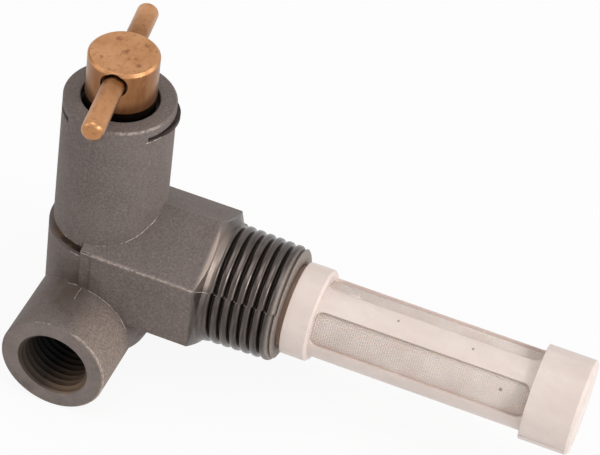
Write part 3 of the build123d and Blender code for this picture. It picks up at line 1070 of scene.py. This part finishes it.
def woven_gauze():
    start = window_start - gauze_lap
    length = window_end - window_start + 2 * gauze_lap
    rings = round(length / gauze_pitch)
    wires = 2 * round(math.pi * gauze_r / gauze_pitch)
    swing = gauze_wire * 0.3

    ring_shells = []
    for ring in range(rings):
        x = start + (ring + 0.5) * length / rings
        points = []
        for step in range(wires * 2):
            over = swing * (step % 2) * (1 if (ring + step // 2) % 2 else -1)
            turn = math.pi * step / wires
            radius = gauze_r + over
            points.append((x, radius * math.cos(turn), radius * math.sin(turn)))
        ring_shells.append(tube(points, gauze_wire, 4, closed=True))
    new_object("gauze_hoops", joined(ring_shells), gauze, "tap")

    wire_shells = []
    for wire in range(wires):
        turn = math.pi * (2 * wire + 1) / wires
        points = []
        for x in (start, start + length):
            points.append((x, gauze_r * math.cos(turn), gauze_r * math.sin(turn)))
        wire_shells.append(tube(points, gauze_wire, 4))
    new_object("gauze_lengths", joined(wire_shells), gauze, "tap")

    cloth = tube([(start, 0, 0), (start + length, 0, 0)], gauze_r, 96)
    mesh = joined([cloth])
    crisp(mesh, 40)
    new_object("gauze_cloth", mesh, sleeve, "tap")


woven_gauze()


# Strainer frame's small moulding marks


def moulding_marks():
    """The rib's wider root by the collar, a nib on the collar's edge and the cap's parting ridge."""
    shells = []

    def on_inlet(x, radius, degrees):
        turn = math.radians(degrees)
        return (x, radius * math.cos(turn), radius * math.sin(turn))

    # the wider root: a low pad along the rib's upper side
    for degrees in (91.0, 94.0, 97.0):
        pad = [on_inlet(x * MM, rib_outer_r - 0.52 * MM, degrees) for x in (13.6, 15.0, 17.5, 19.4, 19.9)]
        shells.append(tube(pad, [0.5 * MM] * 4 + [0.42 * MM], 10))
    nib = [on_inlet(x * MM, rib_outer_r - 0.42 * MM, 89.3) for x in (17.2, 17.8, 19.5, 19.8)]
    shells.append(tube(nib, [0.2 * MM, 0.5 * MM, 0.5 * MM, 0.36 * MM], 10))
    ridge = [on_inlet(x, cap_r, -158) for x in steps(window_end + 0.2 * MM, cap_end - 0.6 * MM, 8)]
    shells.append(tube(ridge, 0.06 * MM, 6))
    new_object("moulding_marks", joined(shells), nylon, "tap")


moulding_marks()


# Stage: a pale floor that shows white to the camera, and keeps the shadow


def stage():
    half = 1.2
    mesh = bpy.data.meshes.new("floor")
    floor_z = cad_box[0][2] - 0.2 * MM
    corners = [(x, y, floor_z) for x, y in ((-half, -half), (half, -half), (half, half), (-half, half))]
    mesh.from_pydata(corners, [], [(0, 1, 2, 3)])
    floor = bpy.data.objects.new("floor", mesh)
    bpy.context.scene.collection.objects.link(floor)
    material, tree, shader = new_material("pale_floor")
    shader.inputs["Base Color"].default_value = (0.82, 0.82, 0.82, 1)
    shader.inputs["Roughness"].default_value = 0.9
    shader.inputs["Specular IOR Level"].default_value = 0.1
    glow = tree.nodes.new("ShaderNodeEmission")
    glow.inputs["Strength"].default_value = 1.0
    blend = tree.nodes.new("ShaderNodeMixShader")
    tree.links.new(product(tree, seen_directly(tree), 0.9), blend.inputs["Fac"])
    tree.links.new(shader.outputs["BSDF"], blend.inputs[1])
    tree.links.new(glow.outputs["Emission"], blend.inputs[2])
    output = next(n for n in tree.nodes if n.type == "OUTPUT_MATERIAL")
    tree.links.new(blend.outputs["Shader"], output.inputs["Surface"])
    mesh.materials.append(material)


def world():
    """A soft studio, pale above and dimmer round the horizon; white where the camera or a gloss sees it."""
    studio = bpy.data.worlds.new("studio")
    studio.use_nodes = True
    tree = studio.node_tree
    tree.nodes.clear()
    output = tree.nodes.new("ShaderNodeOutputWorld")
    light = tree.nodes.new("ShaderNodeBackground")
    white = tree.nodes.new("ShaderNodeBackground")
    blend = tree.nodes.new("ShaderNodeMixShader")
    direction = tree.nodes.new("ShaderNodeTexCoord").outputs["Generated"]
    _, _, up = split_axes(tree, direction)
    height = between(tree, up, -0.1, 0.9)
    colour = ramp(tree, height, 0.0, 1.0, (0.42, 0.41, 0.40, 1), (0.86, 0.85, 0.84, 1))
    tree.links.new(colour, light.inputs["Color"])
    light.inputs["Strength"].default_value = 0.66
    white.inputs["Color"].default_value = (1, 1, 1, 1)
    tree.links.new(seen_directly(tree), blend.inputs["Fac"])
    tree.links.new(light.outputs["Background"], blend.inputs[1])
    tree.links.new(white.outputs["Background"], blend.inputs[2])
    tree.links.new(blend.outputs["Shader"], output.inputs["Surface"])
    bpy.context.scene.world = studio


def soft_lamp(name, place, aim, size, power):
    """A square area lamp at place, turned to aim."""
    data = bpy.data.lights.new(name, "AREA")
    data.shape = "SQUARE"
    data.size = size
    data.energy = power
    lamp = bpy.data.objects.new(name, data)
    lamp.location = place
    lamp.rotation_euler = (Vector(aim) - Vector(place)).to_track_quat("-Z", "Y").to_euler()
    bpy.context.scene.collection.objects.link(lamp)


def camera():
    """The photograph's view: found by fitting the tap's points to the picture."""
    data = bpy.data.cameras.new("camera")
    data.sensor_width = 36.0
    data.lens = 151.67
    data.clip_start = 0.01
    data.clip_end = 10
    right = Vector((0.928294, 0.353315, 0.115927))
    up = Vector((-0.321655, 0.606549, 0.727074))
    back = right.cross(up)
    thing = bpy.data.objects.new("camera", data)
    turn = Matrix((right, up, back)).transposed()
    thing.matrix_world = Matrix.Translation((0.0860385, -0.2997085, 0.3028032)) @ turn.to_4x4()
    bpy.context.scene.collection.objects.link(thing)
    bpy.context.scene.camera = thing


stage()
world()
soft_lamp("overhead", (-0.1, -0.1, 0.9), (0, 0, 0), 0.6, 2.0)
soft_lamp("left_fill", (-1.0, -0.6, 0.5), (0, 0, 0), 0.7, 1.4)
soft_lamp("right_key", (1.3, -0.4, 0.85), (0, 0, 0), 0.4, 8.5)
soft_lamp("right_back", (1.4, 0.4, 0.4), (0, 0, 0), 1.0, 6.0)
soft_lamp("front_right", (1.0, -1.0, 0.3), (0, 0, 0), 1.2, 5.0)
camera()
bpy.context.scene.view_settings.view_transform = "Standard"
